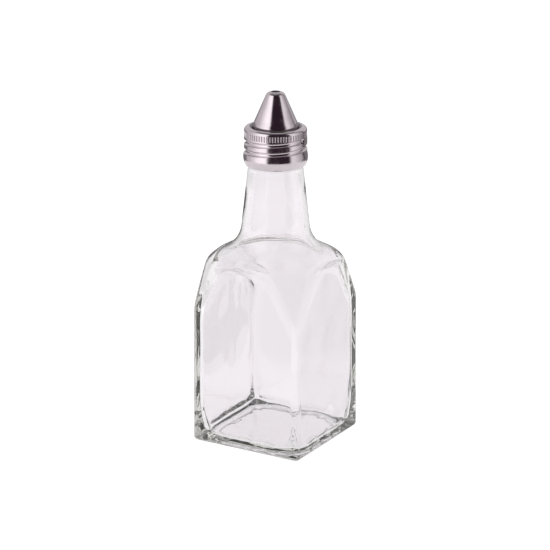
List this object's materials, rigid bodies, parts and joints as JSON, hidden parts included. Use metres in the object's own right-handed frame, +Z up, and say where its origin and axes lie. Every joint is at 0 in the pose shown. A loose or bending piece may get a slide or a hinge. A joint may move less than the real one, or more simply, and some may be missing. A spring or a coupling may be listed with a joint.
{
  "type": "oil and vinegar cruet",
  "caption": "Square clear glass oil cruet with bevelled corners, a knurled steel screw collar and a conical pour spout.",
  "frame": {"origin": "centre of the base, on the plane that the bottle stands on", "axes": "+Z up along the bottle's axis; the panels face +X, -X, +Y and -Y"},
  "size_m": [0.0578, 0.0578, 0.1664],
  "materials": {
    "clear_glass": "clear pressed soda-lime glass, smooth, slightly wavy",
    "stainless_steel": "polished drawn stainless sheet",
    "washer_plastic": "soft translucent polyethylene"
  },
  "bodies": {
    "bottle": {"glass_bottle": "clear_glass"},
    "pourer": {"pour_cone": "stainless_steel", "sealing_washer": "washer_plastic"},
    "collar": {"screw_collar": "stainless_steel"}
  },
  "joints": [
    {"name": "cap_rise", "type": "slide", "parent": "bottle", "child": "pourer", "axis": [0, 0, 1], "range_m": [0, 0.01693]},
    {"name": "cap_turn", "type": "hinge", "parent": "pourer", "child": "collar", "pos_m": [0, 0, 0.14], "axis": [0, 0, 1], "range_deg": [0, 1440]}
  ],
  "couplings": [
    {"joint": "cap_rise", "follows": "cap_turn", "m_per_rad": 0.00067376}
  ]
}
